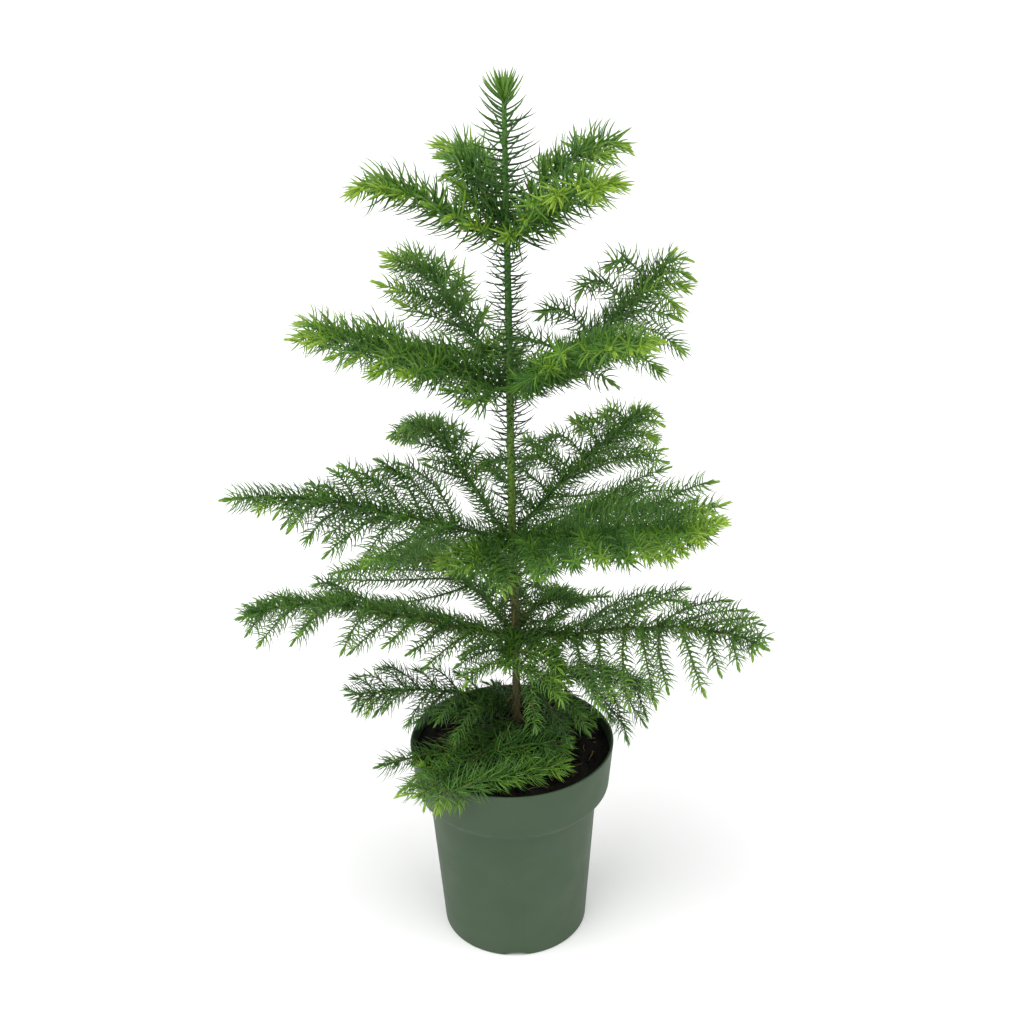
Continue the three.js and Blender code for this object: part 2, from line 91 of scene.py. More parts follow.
# A bough leaves the trunk at its kind's height or its own, or starts at its `root`, and heads for
# `azimuth`, in degrees from +X towards +Y. Its tip is `reach` out and `rise` up, `arch` lifts it
# most at the `crest`, `sweep` carries the tip to the left, and `roll` turns the whole spray, left
# side down. `left` and `right` are its longest side shoots. The first stands at `start` of the
# reach; they grow longer by `widen` for each millimetre back from `lead` behind the tip, `skew`
# turns them away from the way ahead and `droop` is the angle they hang at. `start`, `spacing`,
# `lead`, `skew` and `droop` may be pairs, for left and right. `needle_tip` is the needles' length
# at the bough's tip. Any other value takes the place of its kind's.
BOUGHS = {
    "1_left": dict(azimuth=190, reach=94, rise=25, arch=16, left=26, right=28, droop=4),
    "1_back": dict(azimuth=115, reach=82, rise=41, arch=11, crest=0.5, left=36, right=28, roll=-10,
        spacing=10),
    "1_front": dict(azimuth=308, reach=97, rise=40, arch=12, left=30, right=28, droop=4, fresh=3.4,
        young=15),
    "1_right": dict(azimuth=34, reach=95, rise=37, arch=21, crest=0.5, left=24, right=28,
        start=0.17),
    "2_left": dict(azimuth=187, reach=127, rise=42, arch=6, left=46, right=46, droop=6, widen=1.1,
        spacing=12, needle=16, fresh=3, young=13),
    "2_back": dict(azimuth=124, reach=124, rise=57, arch=13, left=106, right=40, roll=-6, droop=8,
        widen=0.92, spacing=14.5, fresh=3.2, young=13),
    "2_front": dict(azimuth=307, reach=126, rise=57, arch=10, left=42, right=50, droop=6, widen=1,
        skew=(0, -14), fresh=2.8, young=12),
    "2_right": dict(azimuth=28, reach=122, rise=75, arch=-12, crest=0.5, left=60, right=84, roll=-4,
        droop=(-10, 12), lift=(40, 6), skew=(56, -8), widen=1, lead=(-22, -3), spacing=(23, 14)),
    "3_left": dict(azimuth=190, reach=177, rise=41, arch=10, left=72, right=104, droop=4, roll=28,
        lead=(14, 40), lift=(26, 8), widen=0.74, spacing=(12.5, 10), start=0.16),
    "3_back": dict(azimuth=126, reach=128, rise=12, arch=37, left=34, right=26, droop=14,
        spacing=11, start=0.3),
    "3_front": dict(azimuth=309, reach=172, rise=67, arch=-1, crest=0.5, left=78, right=74, droop=4,
        roll=-14, skew=(0, -14), spacing=10.5, fresh=2.4, young=13),
    "3_right": dict(azimuth=46, reach=136, rise=48, arch=6, crest=0.5, left=78, right=104, droop=8,
        lift=(24, 8), roll=-8, skew=(28, -4), spacing=13, start=0.12, fresh=2.6, young=12),
    "4_left": dict(azimuth=190, reach=176, rise=29, arch=16, left=48, right=48, droop=26,
        widen=0.76, lead=(-17, -3), spacing=(18, 13), start=0.08),
    "4_back": dict(azimuth=126, reach=130, rise=10, arch=12, crest=0.5, left=136, right=60, droop=8,
        widen=1.6, spacing=12, start=(0.33, 0.1)),
    "4_right": dict(azimuth=331, reach=170, rise=31, arch=13, left=90, right=68, droop=(14, 24),
        skew=(0, 12), roll=-12, spacing=(19, 15), start=0.07),
    "4_rear": dict(azimuth=55, reach=76, rise=-13, arch=16, crest=0.5, left=50, right=50, droop=10),
    "4_front": dict(azimuth=262, reach=52, rise=-2, arch=6, crest=0.5, left=62, right=44,
        droop=(6, 10), skew=(14, 8), widen=1.6, lead=(-16, -10), spacing=6.5, needle=9, fresh=1),
    "low_left": dict(height=152, azimuth=190, reach=118, rise=21, arch=7, left=54, right=29,
        droop=(14, -14), lift=(24, 7), roll=3, spacing=(12, 13.5), needle=11),
    "low_inner_left": dict(height=144, azimuth=187, reach=64, rise=1, arch=11, left=30, right=15,
        start=(0.1, 0.4), needle=15),
    "low_front": dict(height=145, azimuth=242, reach=112, rise=-3, arch=-6, crest=0.4, sweep=-20,
        left=30, right=36, droop=20, needle_tip=10, widen=1.1, fresh=2.8, young=13),
    "low_over_rim": dict(height=143, azimuth=211, reach=111, rise=0, arch=-5, left=10, right=10,
        needle=12),
    "low_inner_right": dict(height=140, azimuth=348, reach=61, rise=8, arch=2, left=15, right=26,
        start=(0.4, 0.1), needle=15),
    "low_right": dict(height=158, azimuth=342, reach=92, rise=15, arch=15, left=46, right=66,
        droop=34, widen=1.5, needle=11),
    "low_back_left": dict(height=145, azimuth=120, reach=42, rise=8, arch=3, left=10, right=10,
        needle=9, fresh=0.5),
    "low_back_right": dict(height=146, azimuth=60, reach=38, rise=8, arch=3, left=10, right=10,
        needle=9, fresh=0.5),
    # It forks off the low front bough and crosses the pot's mouth.
    "low_fork": dict(root=(-40, -65, 141), azimuth=28, reach=90, rise=1, arch=1, sweep=-11, left=16,
        right=16, start=0.02, fresh=1.3, young=45, needle_tip=13),
    # It leaves the low front bough nearer the trunk and lies to the right.
    "low_cross": dict(root=(-13, -22, 142), azimuth=350, reach=57, rise=5, arch=4, sweep=8, left=26,
        right=24, start=0.02),
    # A short inner spray at tier 3's foot.
    "3_inner": dict(root=(3.3, 17.7, 269), azimuth=236, reach=56, rise=-2, arch=4, left=46,
        right=30, droop=(8, 6), skew=(12, 8), widen=1.4, lead=(-16, -6), spacing=7.5, start=0.06,
        fresh=1.8),
}
UNSHARED = ("low_cross", "3_inner")  # these have no CAD solid of their own

# What a bough has where neither it nor its kind says otherwise.
DEFAULTS = dict(
    crest=0.67, sweep=0, roll=0, lead=-3, widen=0.85, skew=0, droop=3, twist=0.08, unruly=5,
    stubby=1,
)
# How needles stand at a shoot's tip, closed into a pointed bud or an open star: their angles, the
# part of their length, how many more there are, and how suddenly they change.
BUD = dict(tip_lean=13, tip_curl=-3, tip_length=0.34, crowd=1.4, sharp=6)
STAR = dict(tip_lean=40, tip_curl=8, tip_length=0.66, crowd=0.9, sharp=2)

# A limb begins `inside` of the trunk's radius, ends `short` of a needle's length before its tip
# and sways, fully after 1 / `steady` of its reach. Its needles are `longer` than its shoots', at
# its foot and tip, and leave its foot `bare`, at the trunk or at a root of its own.
LIMB = Values(
    inside=0.75, short=0.62, tip_radius=0.42, points=60, sides=10, step=1.4, relief=0.09,
    sway=0.6, sway_scale=0.16, steady=6, longer=(1.16, 1.1), bare=(2.0, 0.5),
)
# Side shoots leave and end at `angle` to the bough, in degrees, `bare` millimetres or more from its
# foot and `clear` of a needle's length from its tip. They rise in a hump and then hang. `radius` is
# a short one's and that of one `full_grown`. A short one's needles are shorter: `least` of their
# length, and 1 / `long` more for each of its millimetres. `glow` is how much of their fresh colour
# shoots have at the bough's foot and tip.
SHOOT = Values(
    angle=(66, 34), bend=0.8, bare=7, clear=0.8, short=0.3, shortest=4, first=0.6, apart=(0.7, 1.3),
    closer=0.75, uneven=(0.82, 1.14), stray=6, stray_droop=5, hump=1.6, hang=1.7, sway=0.035,
    sway_ahead=0.6, points=14, radius=(0.45, 0.7), full_grown=60, tip_radius=0.28, sides=5,
    step=2.0, relief=0.04, least=0.78, long=120, glow=(0.5, 1.1), stray_tone=0.35, bare_foot=0.8,
)

# ---- Arithmetic

def seeded(name):
    """Random numbers that are the same in every run, started from a name."""
    return np.random.default_rng([ord(letter) for letter in name])


def unit(v):
    return v / np.maximum(np.linalg.norm(v, axis=-1, keepdims=True), 1e-9)


def direction(azimuth):
    angle = math.radians(azimuth)
    return np.array([math.cos(angle), math.sin(angle), 0.0])


def mix(a, b, t):
    return a + (b - a) * t


def waves(u, v, random, count, u_scale, v_scale):
    """A smooth uneven field over u (a length) and v (an angle, so it closes), about -1 to 1."""
    total = 0
    for _ in range(count):
        turns = random.integers(0, v_scale + 1)
        total = total + np.sin(u * u_scale * random.uniform(0.3, 1) + v * turns
                               + random.uniform(0, math.tau))
    return total / count * 1.4


def around(sides):
    """Angles evenly round a circle."""
    return np.arange(sides) * 2 * math.pi / sides


def polar(radius, angle, height):
    """Points at a radius and angle round the Z axis."""
    return np.stack(np.broadcast_arrays(radius * np.cos(angle), radius * np.sin(angle), height), -1)


# ---- Trunk and boughs as lines

TIERS = "1234"
FOOT, TIP = np.array(TRUNK.foot, float), np.array(TRUNK.tip, float)


def trunk_centre(height):
    along = (height - FOOT[2]) / (TIP[2] - FOOT[2])
    x, y = (mix(FOOT[k], TIP[k], along)
            + TRUNK.wander * np.sin(along * TRUNK.turns[k]) * (1 - along) for k in (0, 1))
    return np.stack([x, y, height], -1)


def trunk_radius(height):
    along = np.clip((height - FOOT[2]) / (TIP[2] - FOOT[2]), 0, 1)
    stem = mix(TRUNK.stem_radius, TRUNK.tip_radius, along ** TRUNK.taper)
    flare = np.maximum(0, 1 - (height - FOOT[2]) / TRUNK.flare_height) ** 2
    swell = 0
    for tier in TIERS:
        nearness = 1 - np.abs(height - KINDS[tier]["height"]) / (TRUNK.node_length / 2)
        swell = np.maximum(swell, nearness)
    flare = (TRUNK.foot_radius - TRUNK.stem_radius) * flare
    return stem + flare + TRUNK.node_swell * swell


def filled(name, bough):
    """A bough's values, with those of its kind and the defaults where it has none of its own."""
    kind = name.partition("_")[0]
    values = {**DEFAULTS, **KINDS[kind], **bough, "kind": kind}
    values["usual_needle"] = KINDS[kind]["needle"]
    values.setdefault("needle_tip", values["needle"])
    values.setdefault("start", SHOOT.bare / values["reach"])
    return values


def of_side(value, side):
    """A bough's value on one side of it: some are pairs, for its left and its right."""
    return value[0 if side > 0 else 1] if isinstance(value, tuple) else value


def root_of(bough):
    return np.array(bough["root"], float) if "root" in bough else trunk_centre(bough["height"])


def hump(s, crest):
    """A curve that is 0 at 0 and at 1, and 1 at the crest between them."""
    power = crest / (1 - crest)
    return (np.maximum(0, s) / crest) ** power * (1 - s) / (1 - crest)


def bough_point(bough, s):
    s = np.asarray(s, float)[..., None]
    heading = direction(bough["azimuth"])
    left = np.cross(UP, heading)
    lift = bough["rise"] * s + bough["arch"] * hump(s, bough["crest"])
    return root_of(bough) + heading * bough["reach"] * s + left * bough["sweep"] * s * s + UP * lift


def bough_frame(bough, s):
    """The way ahead, left and up at a place on a bough."""
    ahead = unit(bough_point(bough, s + 0.01) - bough_point(bough, s - 0.01))
    left = unit(np.cross(UP, ahead))
    roll = math.radians(bough["roll"])
    left = left * math.cos(roll) - np.cross(ahead, left) * math.sin(roll)
    return ahead, left, np.cross(ahead, left)


def shoot_reach(bough, s, side, longest):
    """How far a side shoot that leaves a bough at s reaches: little near the tip, more behind
    and a little less in the first fifth."""
    behind = (1 - s) * bough["reach"] - of_side(bough["lead"], side)
    widening = bough["widen"] * max(0, behind) / longest
    return longest * math.tanh(widening) * (0.85 + 0.15 * min(1, s / 0.2))


class Line:
    """A twig's middle line, its radius at both ends and where along its bough it leaves."""

    def __init__(self, points, thick, thin, station=0.0):
        self.points = np.asarray(points, float)
        steps = np.linalg.norm(np.diff(self.points, axis=0), axis=1)
        self.along = np.concatenate([[0], np.cumsum(steps)])
        self.length = self.along[-1]
        self.thick, self.thin, self.station = thick, thin, station

    def at(self, u):
        return np.stack([np.interp(u, self.along, self.points[:, k]) for k in range(3)], -1)

    def ahead(self, u):
        reach = min(1.0, self.length * 0.1)
        return unit(self.at(np.minimum(u + reach, self.length)) - self.at(np.maximum(u - reach, 0)))

    def radius(self, u):
        return mix(self.thick, self.thin, np.clip(u / self.length, 0, 1))

    def sideways(self, u):
        """The way ahead and two directions square to it."""
        ahead = self.ahead(u)
        steep = np.abs(ahead[..., 2:3]) > 0.93
        side = unit(np.cross(np.where(steep, (0.0, 1.0, 0.0), UP), ahead))
        return ahead, side, np.cross(ahead, side)


# ---- Meshes

def placed(name, data):
    """A new object in the scene."""
    thing = bpy.data.objects.new(name, data)
    bpy.context.scene.collection.objects.link(thing)
    return thing


def hand_over(name, points, faces, materials, dealt=None):
    """Makes a smooth mesh piece that rides on the plant. `faces` is a list of index arrays, each
    of one number of corners, and `dealt` the material of each face in the same order."""
    mesh = bpy.data.meshes.new(name)
    points = np.asarray(points, np.float32) * MM
    faces = [np.asarray(group, np.int32) for group in faces]
    corners = np.concatenate([group.ravel() for group in faces])
    sizes = np.concatenate([np.full(len(group), group.shape[1]) for group in faces])
    starts = np.concatenate([[0], np.cumsum(sizes)[:-1]]).astype(np.int32)
    mesh.vertices.add(len(points))
    mesh.vertices.foreach_set("co", points.ravel())
    mesh.loops.add(len(corners))
    mesh.loops.foreach_set("vertex_index", corners)
    mesh.polygons.add(len(sizes))
    mesh.polygons.foreach_set("loop_start", starts)
    for material in materials:
        mesh.materials.append(material)
    if dealt is not None:
        mesh.polygons.foreach_set("material_index", np.asarray(dealt, np.int32))
    mesh.update(calc_edges=True)
    mesh.validate()
    mesh.shade_smooth()
    piece = placed(name, mesh)
    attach(piece, "root")
    return piece


def rings_to_faces(rings, sides):
    """Quads between rings of points that turn counterclockwise about the way ahead, and then the
    first and last ring's own face."""
    i = np.arange(rings - 1)[:, None] * sides
    j = np.arange(sides)[None, :]
    following = (j + 1) % sides
    quads = np.stack([i + j, i + following, i + sides + following, i + sides + j], -1)
    return [quads.reshape(-1, 4), j[:, ::-1], j + (rings - 1) * sides]


def repeated(faces, count, each):
    """The triangles of one shape again for `count` shapes with `each` points."""
    return (faces[None] + (np.arange(count) * each)[:, None, None]).reshape(-1, 3)


def rings_round(line, u, angle, radius):
    """Points and faces of a skin round a line, with a radius for each place and angle."""
    _, side, up = line.sideways(u)
    spokes = (side[:, None, :] * np.cos(angle)[None, :, None]
              + up[:, None, :] * np.sin(angle)[None, :, None])
    points = line.at(u)[:, None, :] + spokes * radius[..., None]
    return points.reshape(-1, 3), rings_to_faces(len(u), len(angle))


def tube(line, sides, step, relief=0, seed="twig"):
    """A twig's skin, with ridges and bumps as high as `relief`."""
    u = np.linspace(0, line.length, max(3, int(line.length / step) + 1))
    angle = around(sides)
    radius = line.radius(u)[:, None] * np.ones(sides)
    if relief:
        radius = radius + relief * waves(u[:, None], angle[None, :], seeded(seed),
                                         count=6, u_scale=1.6, v_scale=5)
    return rings_round(line, u, angle, radius)


def joined(parts):
    """Several skins' (points, faces) as one."""
    points, quads, ends, offset = [], [], [], 0
    for part_points, faces in parts:
        points.append(part_points)
        quads.append(faces[0] + offset)
        ends += [end + offset for end in faces[1:]]
        offset += len(part_points)
    return np.concatenate(points), [np.concatenate(quads)] + ends


# ---- Needles

NEEDLE_LINKS = 4  # straight parts that a needle's curve is made of
NEEDLE_WIDTHS = (1.15, 1.0, 0.82, 0.52)  # at its foot and at each joint, of its full width
NEEDLE_THICKNESS = 0.6  # of its width
NEEDLE_START = 0.8  # of its twig's radius
STRAY_TURN, STRAY_BEND = 0.16, 0.05  # how far needles stray round their twig and in their curve
UNEVEN_LENGTH, UNEVEN_WIDTH, UNEVEN_TONE = (0.82, 1.1), (0.85, 1.15), 0.5
CROWDED = 0.7  # the part of its brush in which a tip has more needles
CALM_TIP = 0.4  # how unruly the needles at a tip still are
FOOT_NEEDLES = (0.7, 6)  # how long they are at a shoot's foot, and over how many millimetres less
GLOW_EDGE = 1.6  # how suddenly the young growth's colour starts


class Needles:
    """Needles gathered for one piece."""

    def __init__(self):
        self.points, self.tones = [], []

    def grow(self, line, u, random, length, width, lean, curl, tone, twist):
        """Puts needles on a line at u, round it by the golden angle. `lean` is the angle from
        the way ahead at the foot and `curl` the angle at the tip, in degrees, one per needle."""
        count = len(u)
        ahead, side, up = line.sideways(u)
        turn = (np.arange(count) * GOLDEN_ANGLE + random.uniform(0, math.tau)
                + random.normal(0, STRAY_TURN, count))[:, None]
        out = side * np.cos(turn) + up * np.sin(turn)
        flat = np.cross(ahead, out)
        out = unit(out + flat * random.normal(0, twist, count)[:, None])
        flat = np.cross(ahead, out)
        place = lifted(line.at(u) + out * (line.radius(u) * NEEDLE_START)[:, None])
        foot, tip = np.radians(lean), np.radians(curl)
        spread = random.normal(0, STRAY_BEND, count)
        rings = []
        for k in range(NEEDLE_LINKS):
            angle = mix(foot, tip, (k + 0.5) / NEEDLE_LINKS) + spread
            heading = ahead * np.cos(angle)[:, None] + out * np.sin(angle)[:, None]
            under = np.cross(heading, flat)
            half = (width * NEEDLE_WIDTHS[k] / 2)[:, None]
            keel = half * 2 * NEEDLE_THICKNESS
            rings.append(np.stack([place + flat * half + under * keel * 0.4,
                                   place - flat * half + under * keel * 0.4,
                                   place - under * keel * 0.6], 1))
            place = lifted(place + heading * (length / NEEDLE_LINKS)[:, None])
        needle = np.concatenate(rings + [place[:, None, :]], 1)
        self.points.append(needle)
        self.tones.append(np.broadcast_to(tone, (count,)))

    def hand_over(self, name, materials):
        """Makes the piece, its needles dealt the materials by their tones."""
        points = np.concatenate(self.points)
        tones = np.clip(np.round(np.concatenate(self.tones)).astype(int), 0, len(materials) - 1)
        count, each = points.shape[:2]
        faces = []
        for k in range(NEEDLE_LINKS - 1):
            for j in range(3):
                a, b = 3 * k + j, 3 * k + (j + 1) % 3
                faces += [(a, b, b + 3), (a, b + 3, a + 3)]
        last = 3 * (NEEDLE_LINKS - 1)
        faces += [(last + j, last + (j + 1) % 3, last + 3) for j in range(3)]
        used, dealt = np.unique(tones, return_inverse=True)
        piece = hand_over(name, points.reshape(-1, 3), [repeated(np.array(faces), count, each)],
                          [materials[tone] for tone in used], np.repeat(dealt, len(faces)))
        return piece


def spaced(begin, end, density, random):
    """Places from begin to end with so many to a millimetre, a little uneven."""
    count = max(1, int((end - begin) * density))
    u = np.linspace(begin, end, count)
    return np.clip(u + random.normal(0, 0.2 / density, count), begin, end)


def clothe(needles, line, begin, density, look, random, tone):
    """Covers a shoot with needles from begin to its tip, where they press forward in a brush."""
    u = spaced(begin, line.length, density, random)
    crowd = spaced(line.length - look["brush"] * CROWDED, line.length, density * look["crowd"],
                   random)
    u = np.sort(np.concatenate([u, crowd[crowd > begin]]))
    count, left_to_go = len(u), line.length - u
    closing = np.exp(-(left_to_go / look["brush"]) ** look["sharp"])
    unrest = look["unruly"] * mix(1, CALM_TIP, closing)
    lean = mix(look["lean"], look["tip_lean"], closing) + random.normal(0, 1, count) * unrest
    curl = mix(look["curl"], look["tip_curl"], closing) + random.normal(0, 1.5, count) * unrest
    shorter = closing ** look["stubby"]
    needle = mix(look["needle"], look["needle_end"], u / line.length)
    length = needle * mix(1, look["tip_length"], shorter) * random.uniform(*UNEVEN_LENGTH, count)
    length = length * mix(FOOT_NEEDLES[0], 1, np.clip(u / FOOT_NEEDLES[1], 0, 1))
    width = look["width"] * random.uniform(*UNEVEN_WIDTH, count)
    glow = look["fresh"] * np.exp(-(left_to_go / look["young"]) ** GLOW_EDGE)
    tones = tone + glow + random.normal(0, UNEVEN_TONE, count)
    needles.grow(line, u, random, length, width, lean, curl, tones, look["twist"])


# ---- Materials

def linear(red, green, blue):
    """A screen colour of 0 to 255 as the linear colour that Blender mixes light with."""
    parts = [value / 255 for value in (red, green, blue)]
    return (*(c / 12.92 if c <= 0.04045 else ((c + 0.055) / 1.055) ** 2.4 for c in parts), 1.0)


class Shader:
    """A Principled material with short ways to add the nodes behind it."""

    def __init__(self, name, roughness, specular=0.5):
        self.material = bpy.data.materials.new(name)
        self.material.use_nodes = True
        self.tree = self.material.node_tree
        self.principled = self.tree.nodes["Principled BSDF"]
        self.principled.inputs["Roughness"].default_value = roughness
        self.principled.inputs["Specular IOR Level"].default_value = specular
        self.coordinates = self.tree.nodes.new("ShaderNodeTexCoord").outputs["Object"]

    def put(self, value, socket):
        """Sets a socket to a number or colour, or links it to what another node gives."""
        if isinstance(value, (int, float, tuple)):
            socket.default_value = value
        else:
            self.tree.links.new(value, socket)

    def add(self, kind, output, inputs, **settings):
        """What a new node gives, with its settings and its inputs put in."""
        node = self.tree.nodes.new("ShaderNode" + kind)
        for key, value in settings.items():
            setattr(node, key, value)
        for key, value in inputs.items():
            self.put(value, node.inputs[key])
        return node.outputs[output]

    def stretched(self, scale):
        """Object coordinates, stretched along an axis where its scale is small."""
        return self.add("Mapping", "Vector", {"Scale": scale, "Vector": self.coordinates})

    def noise(self, scale, detail=3.0, roughness=0.55, vector=None):
        return self.add("TexNoise", "Fac", {
            "Scale": scale, "Detail": detail, "Roughness": roughness,
            "Vector": vector or self.coordinates})

    def cells(self, scale):
        return self.add("TexVoronoi", "Distance", {"Scale": scale, "Vector": self.coordinates})

    def height(self):
        return self.add("SeparateXYZ", "Z", {"Vector": self.coordinates})

    def remap(self, value, from_min, from_max, to_min=0.0, to_max=1.0):
        return self.add("MapRange", "Result", {
            "Value": value, "From Min": from_min, "From Max": from_max, "To Min": to_min,
            "To Max": to_max})

    def sum(self, a, b, weight):
        """a + b * weight"""
        return self.add("Math", "Value", {0: b, 1: weight, 2: a}, operation="MULTIPLY_ADD")

    def ramp(self, value, *stops):
        """Screen colours at places from 0 to 1."""
        node = self.tree.nodes.new("ShaderNodeValToRGB")
        elements = node.color_ramp.elements
        while len(elements) < len(stops):
            elements.new(0.5)
        for element, (place, colour) in zip(elements, stops):
            element.position = place
            element.color = linear(*colour)
        self.put(value, node.inputs["Fac"])
        return node.outputs["Color"]

    def blend(self, factor, a, b, way="MIX"):
        return self.add("Mix", "Result", {"Factor": factor, "A": a, "B": b},
                        data_type="RGBA", blend_type=way)

    def colour(self, value):
        self.put(value, self.principled.inputs["Base Color"])

    def rough(self, value):
        self.put(value, self.principled.inputs["Roughness"])

    def bump(self, height, strength, distance):
        normal = self.add("Bump", "Normal", {
            "Strength": strength, "Distance": distance, "Height": height})
        self.put(normal, self.principled.inputs["Normal"])


# The needles' greens, from deep shade to young tips.
GREENS = {
    "shade": (32, 60, 27), "deep": (41, 78, 30), "dark": (54, 96, 33), "leaf": (74, 120, 38),
    "light": (101, 146, 44), "young": (130, 168, 52), "tip": (154, 188, 62),
}


def needle_material(name, colour, roughness):
    """Waxy needles: one plain colour, with the sheen of the bloom coming and going over it."""
    shader = Shader("needle_" + name, roughness)
    shader.colour(linear(*colour))
    bloom = shader.remap(shader.noise(420), 0.3, 0.7, 0.3, 0.6)
    shader.put(bloom, shader.principled.inputs["Specular IOR Level"])
    return shader.material


needle_materials = [needle_material(name, colour, 0.46) for name, colour in GREENS.items()]
dry_material = needle_material("dry", (122, 112, 66), 0.7)


def twig_material(name, wood, green, brown):
    """Young wood: green skin with darker leaf scars, browner in patches by `brown`."""
    shader = Shader(name, 0.6)
    patches = shader.remap(shader.noise(90, 4), 0.62 - brown * 0.4, 0.82 - brown * 0.3)
    skin = shader.blend(patches, linear(*green), linear(*wood))
    scars = shader.remap(shader.cells(900), 0.0, 0.55, 0.72, 1.0)
    shader.colour(shader.blend(1.0, skin, scars, "MULTIPLY"))
    shader.rough(shader.remap(shader.noise(500), 0.3, 0.7, 0.5, 0.72))
    shader.bump(shader.sum(shader.noise(1400, 4), scars, 0.6), 0.5, 0.0002)
    return shader.material


twig_materials = {key: twig_material(f"young_wood_{key}", *skin) for key, skin in {
    "1": ((96, 112, 50), (94, 138, 58), 0.1),
    "2": ((98, 106, 52), (84, 126, 54), 0.2),
    "3": ((100, 92, 50), (74, 108, 48), 0.35),
    "4": ((98, 80, 50), (72, 96, 46), 0.5),
    "low": ((92, 74, 46), (74, 98, 46), 0.5),
}.items()}


def bark_material():
    """The trunk's skin: brown and furrowed at the foot, olive above, green in the young top."""
    shader = Shader("bark", 0.7)
    height = shader.remap(shader.height(), 0.133, 0.540)
    uneven = shader.sum(height, shader.noise(60, 3), 0.10)
    tint = shader.ramp(
        uneven,
        (0.05, (112, 106, 74)), (0.24, (108, 104, 64)), (0.33, (104, 114, 50)),
        (0.48, (110, 144, 50)), (0.74, (66, 112, 44)), (1.0, (86, 140, 50)),
    )
    along = shader.stretched((1.0, 1.0, 0.28))
    furrows = shader.remap(shader.noise(620, 5, 0.6, along), 0.32, 0.62, 0.6, 1.06)
    streaked = shader.blend(1.0, tint, furrows, "MULTIPLY")
    lichen = shader.remap(shader.noise(260, 2), 0.62, 0.74, 0.0, 0.35)
    shader.colour(shader.blend(lichen, streaked, linear(132, 126, 92)))
    shader.rough(shader.remap(shader.noise(300), 0.3, 0.7, 0.58, 0.85))
    shader.bump(shader.sum(furrows, shader.noise(1500, 3), 0.4), 0.7, 0.0004)
    return shader.material


def pot_material():
    """Moulded matte plastic: sage green, faintly clouded, with scuffs and a dusting of peat."""
    shader = Shader("sage_plastic", 0.55, 0.42)
    clouds = shader.remap(shader.noise(14, 2), 0.3, 0.7)
    base = shader.blend(clouds, linear(51, 73, 48), linear(57, 79, 53))
    streaks = shader.noise(70, 5, 0.7, shader.stretched((1, 1, 3)))
    scuffs = shader.remap(streaks, 0.6, 0.78, 0.0, 0.22)
    scuffed = shader.blend(scuffs, base, linear(78, 96, 74))
    dusty = shader.sum(shader.noise(240, 4), shader.height(), 2.0)
    peat = shader.remap(dusty, 0.86, 0.98, 0.0, 0.3)
    shader.colour(shader.blend(peat, scuffed, linear(70, 66, 50)))
    shader.rough(shader.remap(shader.noise(40, 4), 0.3, 0.7, 0.5, 0.64))
    shader.bump(shader.noise(2600, 3), 0.25, 0.0002)
    return shader.material


def peat_material():
    shader = Shader("peat", 0.95, 0.2)
    lumps = shader.noise(190, 6, 0.65)
    earth = shader.ramp(lumps, (0.3, (10, 9, 9)), (0.5, (22, 19, 17)), (0.66, (34, 28, 22)),
                        (0.82, (58, 46, 33)))
    grains = shader.remap(shader.cells(1100), 0.1, 0.6, 0.6, 1.1)
    shader.colour(shader.blend(1.0, earth, grains, "MULTIPLY"))
    shader.rough(shader.remap(lumps, 0.3, 0.7, 0.85, 1.0))
    shader.bump(shader.sum(lumps, shader.noise(900, 4), 0.5), 0.9, 0.0012)
    return shader.material


def litter_material(name, dark, pale):
    shader = Shader(name, 0.85, 0.25)
    shader.colour(shader.blend(shader.remap(shader.noise(330, 3), 0.35, 0.65),
                               linear(*dark), linear(*pale)))
    shader.bump(shader.noise(1800, 3), 0.5, 0.0002)
    return shader.material


def floor_material():
    shader = Shader("studio_floor", 0.8, 0.1)
    shader.colour(shader.blend(shader.remap(shader.noise(3, 2), 0.3, 0.7),
                               linear(251, 251, 251), linear(254, 254, 254)))
    return shader.material


# ---- Camera

# Its place in metres, its angles in degrees, its lens and sensor in millimetres.
CAMERA = Values(place=(0.0031, -0.8, 0.6697), pitch=25.02, tilt=-1.19, lens=52.21, sensor=36)


def place_camera():
    """Stands in front of the pot, a little above the plant's top, and looks down on it."""
    pitch, tilt = math.radians(CAMERA.pitch), math.radians(CAMERA.tilt)
    forward = Vector((0, math.cos(pitch), -math.sin(pitch)))
    level_up = Vector((0, math.sin(pitch), math.cos(pitch)))
    across = Vector((1, 0, 0))
    right = across * math.cos(tilt) + level_up * math.sin(tilt)
    up = level_up * math.cos(tilt) - across * math.sin(tilt)
    data = bpy.data.cameras.new("front_camera")
    data.sensor_width, data.lens = CAMERA.sensor, CAMERA.lens
    camera = placed("front_camera", data)
    turn = Matrix((right, up, -forward)).transposed().to_4x4()
    camera.matrix_world = Matrix.Translation(CAMERA.place) @ turn
    bpy.context.scene.camera = camera


place_camera()

# ---- Pot

def rounded(profile, radii):
    """A profile of [radius, height] pairs with its corners rounded off."""
    profile = np.array(profile, float)
    result = [profile[0]]
    for before, corner, after, size in zip(profile, profile[1:], profile[2:], radii):
        start = corner + unit(before - corner) * size
        end = corner + unit(after - corner) * size
        for t in np.linspace(0, 1, 6):
            result.append(mix(mix(start, corner, t), mix(corner, end, t), t))
    return np.array(result + [profile[-1]])


def turned(profile, sides):
    """Points and faces turned about Z from a profile that starts and ends near the axis."""
    rings = polar(profile[:, 0:1], around(sides), profile[:, 1:2])
    return rings.reshape(-1, 3), rings_to_faces(len(profile), sides)


